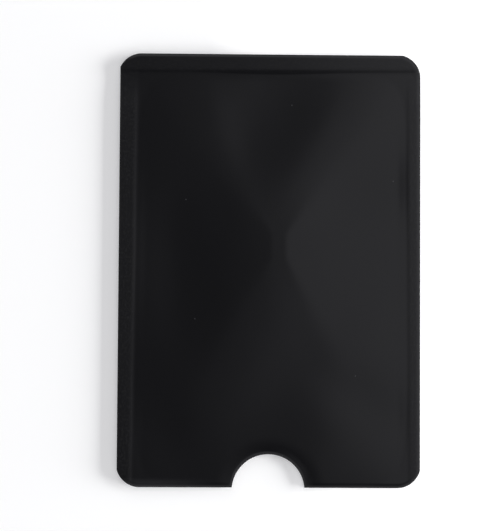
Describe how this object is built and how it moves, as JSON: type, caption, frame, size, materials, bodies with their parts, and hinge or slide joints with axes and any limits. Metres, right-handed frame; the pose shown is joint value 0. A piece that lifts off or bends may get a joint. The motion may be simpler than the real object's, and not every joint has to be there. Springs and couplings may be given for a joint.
{
  "type": "rfid card sleeve",
  "caption": "Flat black sleeve for one bank card, with a foil shield in both sheets, a sealed rim on three sides and a half-round thumb notch at the open mouth",
  "frame": {"origin": "On the back face, under the middle of the sleeve's width and length", "axes": "The sleeve lies on its back. +Y runs along its length to the closed end, so the mouth and its thumb notch face -Y. +Z comes straight up out of the front sheet, and +X points to the right as the front is seen."},
  "size_m": [0.063, 0.0904, 0.002],
  "materials": {
    "outer_film": "satin black polyester film, smooth, with a soft sheen",
    "shield_foil": "bright rolled aluminium foil",
    "inner_liner": "thin clear film over foil, satin silver",
    "spacer_strip": "matt black plastic strip",
    "adhesive": "dark pressure-sensitive adhesive"
  },
  "bodies": {
    "root": {"front_outer_film": "outer_film", "front_shield_foil": "shield_foil", "front_inner_liner": "inner_liner", "left_front_adhesive": "adhesive", "right_front_adhesive": "adhesive", "end_front_adhesive": "adhesive", "left_spacer_strip": "spacer_strip", "right_spacer_strip": "spacer_strip", "end_spacer_strip": "spacer_strip", "left_back_adhesive": "adhesive", "right_back_adhesive": "adhesive", "end_back_adhesive": "adhesive", "back_inner_liner": "inner_liner", "back_shield_foil": "shield_foil", "back_outer_film": "outer_film"}
  },
  "joints": []
}
